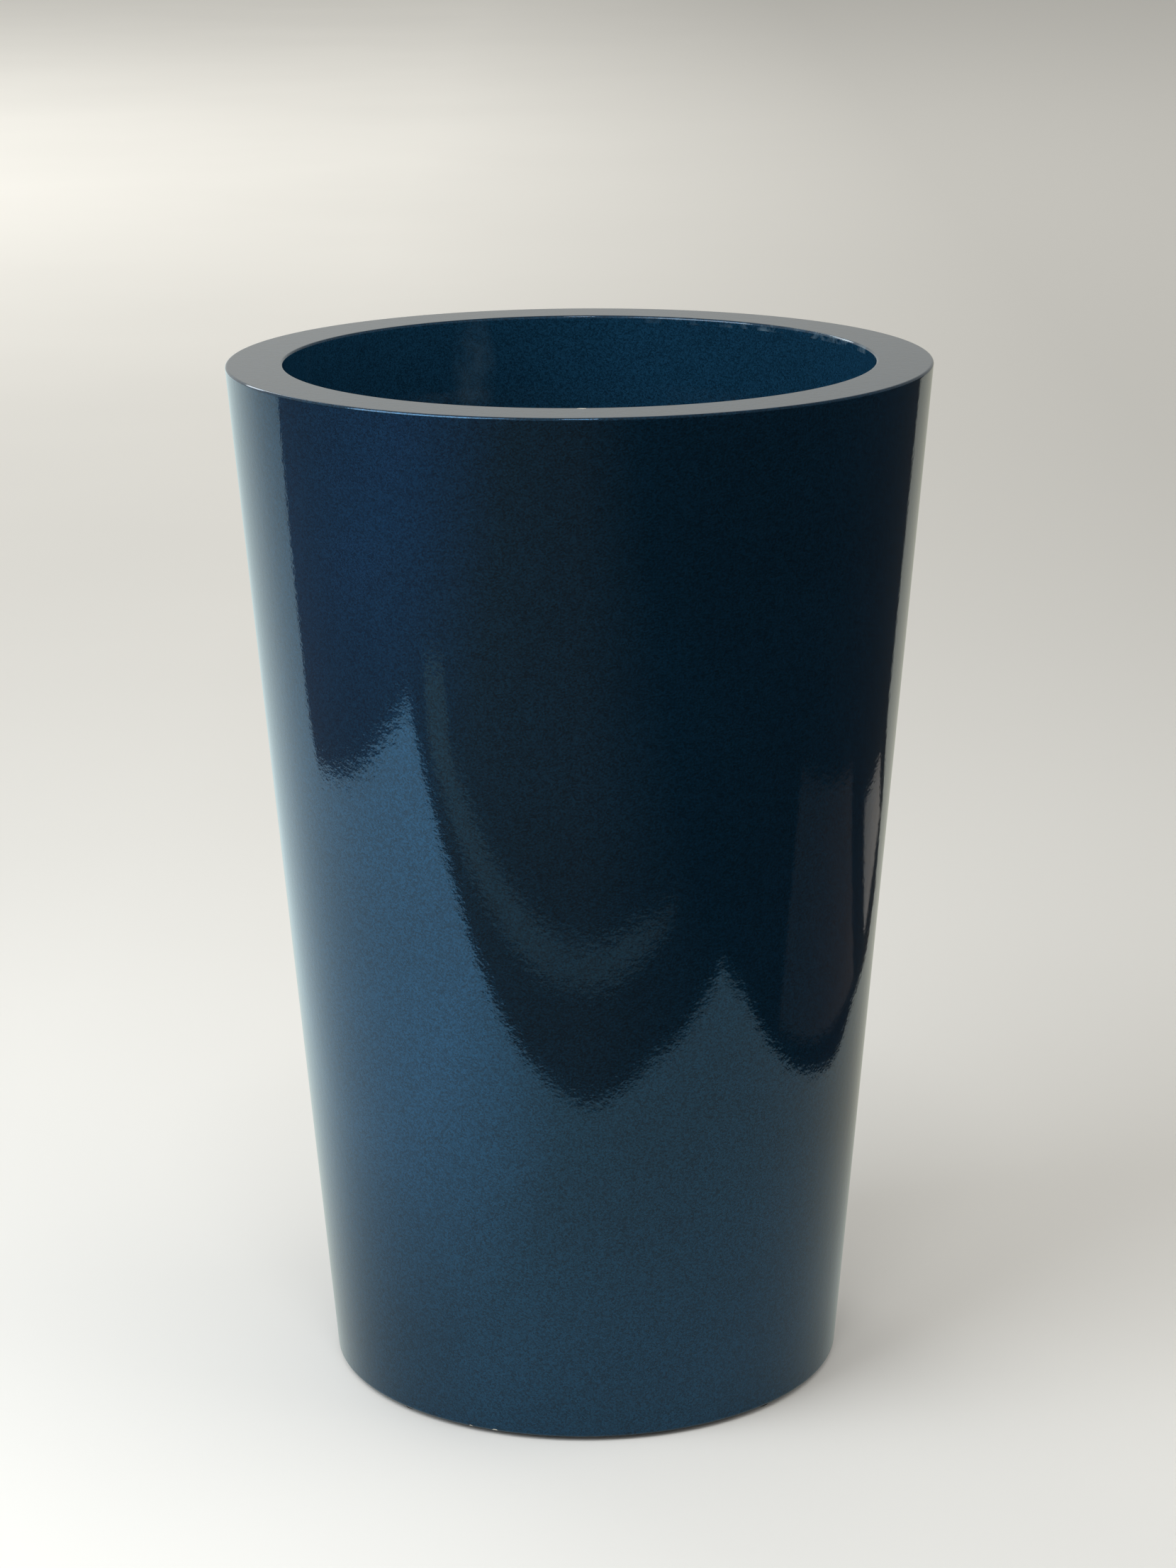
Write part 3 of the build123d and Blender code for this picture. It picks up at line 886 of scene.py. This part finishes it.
def mirrored_piece(name, outline, level, material):
    """Flat piece of ground that shows only in the gloss."""
    piece = flat_piece(name, outline, level, material)
    piece.visible_camera = False
    piece.visible_diffuse = False
    piece.visible_shadow = False
    piece.visible_transmission = False


def lay_floor(colours):
    """Pale sheet under the planter, the ground round it and three patches on that ground."""
    sheet_level = -0.0001
    patch_level = -0.0003
    marks_level = -0.0004
    ground_level = -0.0006
    far = 16.0
    flat_piece("floor", [(-far, -far), (far, -far), (far, far), (-far, far)], ground_level,
               pale_floor(colours, "Floor and ground", ground_in_gloss))
    front_edge = [(-0.93, -0.55), (-0.54, -0.54), (0.0, -0.467), (0.2, -0.475), (0.48, -0.42)]
    right_edge = [(0.507, -0.31), (0.465, 0.16), (0.485, 0.32), (0.455, 0.5), (0.475, 0.65)]
    back_edge = [(0.615, 0.816), (0.815, 0.94), (1.446, 1.83), (8.0, 12.0), (-12.0, 12.0)]
    left_edge = [(-12.0, 4.2), (-1.545, 0.593), (-1.09, 0.37), (-0.99, 0.27), (-0.965, -0.35)]
    sheet = flat_piece("floor_sheet", front_edge + right_edge + back_edge + left_edge,
                       sheet_level, pale_floor(colours, "Floor sheet", sheet_in_gloss))
    sheet.visible_shadow = False
    strip = plain_matt("Ground strip", (0.30, 0.26, 0.20))
    boards = plain_matt("Ground boards", (0.10, 0.07, 0.055))
    light_patch = plain_matt("Ground light patch", (0.38, 0.34, 0.30))
    mirrored_piece("ground_strip", [(-0.92, -0.70), (-0.79, -0.61), (0.40, -0.61),
                                    (0.22, -0.66), (-0.24, -0.68), (-0.70, -0.70),
                                    (-0.82, -0.80)], marks_level, strip)
    mirrored_piece("ground_boards", [(0.53, -0.155), (0.96, -0.155), (0.96, 0.34),
                                     (0.52, 0.34)], marks_level, boards)
    mirrored_piece("ground_patch", [(0.52, 0.47), (0.82, 0.50), (0.80, 0.77), (0.62, 0.75)],
                   patch_level, light_patch)


def hang_lamps(stage):
    """Three wide soft lamps and a small one; the fill lamp stays out of the gloss."""
    soft_lamp("Key lamp", (-1.25, -0.85, 1.35), (-0.35, -0.2, 0.0), 1.4, stage.key_power,
              (0.93, 0.97, 1.0))
    soft_lamp("Back lamp", (-3.6, 5.5, 3.4), (-2.0, 7.0, 0.0), 4.0, stage.back_power,
              (1.0, 0.98, 0.93))
    fill = soft_lamp("Fill lamp", (1.7, -0.2, 1.5), (0.3, 0.0, 0.0), 1.8, stage.fill_power,
                     (1.0, 0.98, 0.95))
    fill.visible_glossy = False
    soft_lamp("Top lamp", (0.0, -1.2, 2.6), (0.0, 0.0, 0.4), 0.35, stage.top_power,
              (1.0, 0.98, 0.95))


def set_camera(scene, stage):
    """The camera in front of the planter, at the angle of the view to match."""
    camera = bpy.data.cameras.new("Camera")
    camera.sensor_fit = "VERTICAL"
    camera.sensor_height = 24.0
    camera.lens = stage.lens
    camera.clip_end = 100.0
    holder = bpy.data.objects.new("Camera", camera)
    scene.collection.objects.link(holder)
    holder.matrix_world = (
        Matrix.Translation((stage.camera_aside, -stage.camera_distance, stage.camera_height))
        @ Matrix.Rotation(math.radians(90) - stage.camera_pitch, 4, "X")
        @ Matrix.Rotation(stage.camera_roll, 4, "Z"))
    scene.camera = holder


class PLANTER_OT_stage(bpy.types.Operator):
    """Set out the pale floor, soft light and camera"""
    bl_idname = "planter.stage"
    bl_label = "Stage"

    def execute(self, context):
        stage = context.scene.planter_stage
        lay_floor(context.scene.planter_colours)
        soft_world()
        hang_lamps(stage)
        set_camera(context.scene, stage)
        context.scene.view_settings.view_transform = "Standard"
        return {"FINISHED"}


class PLANTER_PT_panel(bpy.types.Panel):
    """Lists the planter's pieces and their sizes"""
    bl_label = "Planter"
    bl_idname = "PLANTER_PT_panel"
    bl_space_type = "VIEW_3D"
    bl_region_type = "UI"
    bl_category = "Planter"

    def draw(self, context):
        for step in STEPS:
            self.layout.operator(step.bl_idname)
        for group in (context.scene.planter_shell, context.scene.planter_fixings,
                      context.scene.planter_colours, context.scene.planter_stage):
            box = self.layout.box()
            for name in group.bl_rna.properties.keys():
                if name not in ("rna_type", "name"):
                    box.prop(group, name)


STEPS = (PLANTER_OT_stage, PLANTER_OT_shell, PLANTER_OT_screws, PLANTER_OT_mouldings,
         PLANTER_OT_rubber)
GROUPS = (("planter_shell", PlanterShellSizes), ("planter_fixings", PlanterFixingSizes),
          ("planter_colours", PlanterColours), ("planter_stage", PlanterStageSizes))


def register():
    for name, group in GROUPS:
        bpy.utils.register_class(group)
        setattr(bpy.types.Scene, name, PointerProperty(type=group))
    for step in STEPS:
        bpy.utils.register_class(step)
    bpy.utils.register_class(PLANTER_PT_panel)


def unregister():
    bpy.utils.unregister_class(PLANTER_PT_panel)
    for step in reversed(STEPS):
        bpy.utils.unregister_class(step)
    for name, group in reversed(GROUPS):
        delattr(bpy.types.Scene, name)
        bpy.utils.unregister_class(group)


def main():
    register()
    bpy.ops.planter.stage()
    bpy.ops.planter.shell()
    bpy.ops.planter.screws()
    bpy.ops.planter.mouldings()
    bpy.ops.planter.rubber()


if __name__ == "__main__":
    main()
